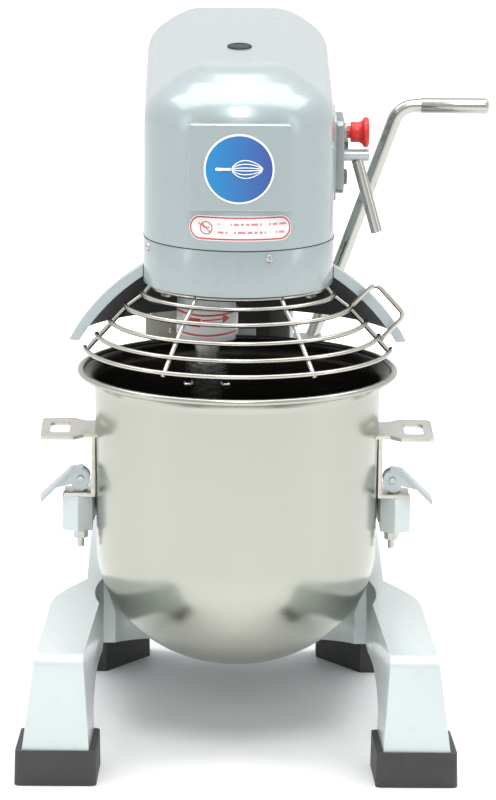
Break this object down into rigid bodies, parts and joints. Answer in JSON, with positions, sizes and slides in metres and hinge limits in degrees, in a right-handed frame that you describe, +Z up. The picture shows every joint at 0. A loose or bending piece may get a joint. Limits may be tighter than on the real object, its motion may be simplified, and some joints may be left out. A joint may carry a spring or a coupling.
{
  "type": "planetary stand mixer",
  "caption": "Worktop planetary mixer with a lifting steel bowl on a yoke, a swinging wire guard, a rear shield, a bowl lift lever and side controls.",
  "frame": {"origin": "on the worktop, straight under the bowl and planetary axis", "axes": "+X to the operator's right, +Y to the back of the machine, +Z up"},
  "size_m": [0.5187, 0.561, 0.7656],
  "materials": {
    "base_casting": "silver-grey gloss enamel on cast iron",
    "rubber_boots": "moulded black rubber, matte",
    "column_casting": "silver-grey gloss enamel on cast iron",
    "column_bolts": "zinc plated",
    "column_back_cover": "silver-grey gloss enamel on sheet steel",
    "cable_gland": "black nylon",
    "head_casting": "silver-grey gloss enamel on cast iron",
    "head_cover": "silver-grey gloss enamel",
    "lifting_plug": "black plastic plug",
    "badge_disc": "printed disc under clear lacquer",
    "warning_label": "printed vinyl",
    "cross_head_screws": "zinc plated",
    "control_panel": "satin plate",
    "guard_clips": "satin",
    "rear_shield": "silver-grey enamel on sheet steel",
    "interlock_box": "moulded plastic",
    "ring_gear": "machined, oiled",
    "gearbox_plate": "machined",
    "upper_plate": "plate",
    "plate_posts": "turned",
    "motor_housing": "die cast",
    "drive_belt": "reinforced rubber",
    "yoke_casting": "silver-grey gloss enamel on cast iron",
    "bowl_shell": "polished stainless steel",
    "bowl_bracket_left": "satin stainless strip",
    "bowl_bracket_right": "satin stainless strip",
    "clamp_eye_bolts": "zinc plated",
    "clamp_nuts": "zinc plated",
    "clamp_pins": "zinc plated",
    "clamp_lever_left": "pale enamel on stamped steel",
    "clamp_lever_right": "pale enamel on stamped steel",
    "lever_rod": "bright chrome plate",
    "lever_grip": "bright chrome plate",
    "lever_hub": "machined",
    "lift_shaft": "ground",
    "crank_arm": "machined",
    "crank_roller": "ground",
    "guard_cage": "bright stainless wire",
    "guard_handle": "bright stainless wire",
    "stop_button": "moulded red plastic",
    "start_button": "moulded green plastic",
    "timer_knob": "moulded plastic",
    "shift_hub": "pale enamel",
    "shift_rod": "bright chrome plate",
    "shift_rail": "ground",
    "planet_carrier": "machined",
    "drum_label": "printed vinyl",
    "agitator_bearings": "ground",
    "main_shaft": "ground",
    "low_speed_gear": "machined, oiled",
    "mid_speed_gear": "machined, oiled",
    "high_speed_gear": "machined, oiled",
    "agitator_shaft": "ground stainless steel",
    "cross_pin": "ground",
    "planet_pinion": "machined, oiled",
    "countershaft": "machined, oiled",
    "counter_pulley": "machined",
    "motor_pulley": "machined",
    "motor_shaft": "ground"
  },
  "bodies": {
    "frame": {"base_casting": "base_casting", "rubber_boots": "rubber_boots", "column_casting": "column_casting", "column_bolts": "column_bolts", "column_back_cover": "column_back_cover", "cable_gland": "cable_gland", "head_casting": "head_casting", "head_cover": "head_cover", "lifting_plug": "lifting_plug", "badge_disc": "badge_disc", "warning_label": "warning_label", "cross_head_screws": "cross_head_screws", "control_panel": "control_panel", "guard_clips": "guard_clips", "rear_shield": "rear_shield", "interlock_box": "interlock_box", "ring_gear": "ring_gear", "gearbox_plate": "gearbox_plate", "upper_plate": "upper_plate", "plate_posts": "plate_posts", "motor_housing": "motor_housing", "drive_belt": "drive_belt"},
    "yoke": {"yoke_casting": "yoke_casting", "bowl_shell": "bowl_shell", "bowl_bracket_left": "bowl_bracket_left", "bowl_bracket_right": "bowl_bracket_right", "clamp_eye_bolts": "clamp_eye_bolts", "clamp_nuts": "clamp_nuts", "clamp_pins": "clamp_pins"},
    "clamp_left": {"clamp_lever_left": "clamp_lever_left"},
    "clamp_right": {"clamp_lever_right": "clamp_lever_right"},
    "lift_lever": {"lever_rod": "lever_rod", "lever_grip": "lever_grip", "lever_hub": "lever_hub", "lift_shaft": "lift_shaft", "crank_arm": "crank_arm", "crank_roller": "crank_roller"},
    "guard": {"guard_cage": "guard_cage", "guard_handle": "guard_handle"},
    "stop_button": {"stop_button": "stop_button"},
    "start_button": {"start_button": "start_button"},
    "timer_knob": {"timer_knob": "timer_knob"},
    "shifter": {"shift_hub": "shift_hub", "shift_rod": "shift_rod"},
    "shift_rail": {"shift_rail": "shift_rail"},
    "carrier": {"planet_carrier": "planet_carrier", "drum_label": "drum_label", "agitator_bearings": "agitator_bearings", "main_shaft": "main_shaft", "mid_speed_gear": "mid_speed_gear"},
    "agitator": {"agitator_shaft": "agitator_shaft", "cross_pin": "cross_pin", "planet_pinion": "planet_pinion"},
    "low_gear": {"low_speed_gear": "low_speed_gear"},
    "high_gear": {"high_speed_gear": "high_speed_gear"},
    "countershaft": {"countershaft": "countershaft", "counter_pulley": "counter_pulley"},
    "motor_rotor": {"motor_shaft": "motor_shaft", "motor_pulley": "motor_pulley"}
  },
  "joints": [
    {"name": "bowl_lift", "type": "slide", "parent": "frame", "child": "yoke", "axis": [0, 0, 1], "range_m": [-0.05, 0]},
    {"name": "lift_lever", "type": "hinge", "parent": "frame", "child": "lift_lever", "pos_m": [0, 0.262, 0.375], "axis": [1, 0, 0], "range_deg": [0, 50]},
    {"name": "guard_swing", "type": "hinge", "parent": "frame", "child": "guard", "pos_m": [0, 0, 0.5005], "axis": [0, 0, 1], "range_deg": [-110, 0]},
    {"name": "clamp_left", "type": "hinge", "parent": "yoke", "child": "clamp_left", "pos_m": [-0.17, 0, 0.285], "axis": [0, 1, 0], "range_deg": [0, 50]},
    {"name": "clamp_right", "type": "hinge", "parent": "yoke", "child": "clamp_right", "pos_m": [0.17, 0, 0.285], "axis": [0, -1, 0], "range_deg": [0, 50]},
    {"name": "stop_button", "type": "slide", "parent": "frame", "child": "stop_button", "axis": [-1, 0, 0], "range_m": [0, 0.0035], "stiffness_N_per_m": 500, "springref_m": -0.002},
    {"name": "start_button", "type": "slide", "parent": "frame", "child": "start_button", "axis": [-1, 0, 0], "range_m": [0, 0.004], "stiffness_N_per_m": 400, "springref_m": -0.002},
    {"name": "timer_knob", "type": "hinge", "parent": "frame", "child": "timer_knob", "pos_m": [0.114, 0.078, 0.605], "axis": [1, 0, 0], "range_deg": [0, 300]},
    {"name": "speed_shift", "type": "hinge", "parent": "frame", "child": "shifter", "pos_m": [0, 0.06, 0.632], "axis": [1, 0, 0], "range_deg": [-20, 20]},
    {"name": "shift_rail", "type": "slide", "parent": "frame", "child": "shift_rail", "axis": [0, 0, 1], "range_m": [-0.008, 0.008]},
    {"name": "carrier_spin", "type": "hinge", "parent": "frame", "child": "carrier", "pos_m": [0, 0, 0.5], "axis": [0, 0, 1], "continuous": true},
    {"name": "agitator_spin", "type": "hinge", "parent": "carrier", "child": "agitator", "pos_m": [-0.033, 0, 0.45], "axis": [0, 0, 1], "continuous": true},
    {"name": "low_gear_spin", "type": "hinge", "parent": "frame", "child": "low_gear", "pos_m": [0, 0, 0.574], "axis": [0, 0, 1], "continuous": true},
    {"name": "high_gear_spin", "type": "hinge", "parent": "frame", "child": "high_gear", "pos_m": [0, 0, 0.634], "axis": [0, 0, 1], "continuous": true},
    {"name": "countershaft_spin", "type": "hinge", "parent": "frame", "child": "countershaft", "pos_m": [0, 0.072, 0.6], "axis": [0, 0, 1], "continuous": true},
    {"name": "motor_spin", "type": "hinge", "parent": "frame", "child": "motor_rotor", "pos_m": [0, 0.243, 0.65], "axis": [0, 0, 1], "continuous": true}
  ],
  "couplings": [
    {"joint": "lift_lever", "follows": "bowl_lift", "rad_per_m": -17.453},
    {"joint": "shift_rail", "follows": "speed_shift", "m_per_rad": 0.02},
    {"joint": "agitator_spin", "follows": "carrier_spin", "ratio": -2.9412},
    {"joint": "countershaft_spin", "follows": "carrier_spin", "ratio": -1.4},
    {"joint": "low_gear_spin", "follows": "carrier_spin", "ratio": 0.7},
    {"joint": "high_gear_spin", "follows": "carrier_spin", "ratio": 1.6545},
    {"joint": "motor_spin", "follows": "carrier_spin", "ratio": -3.1818}
  ]
}
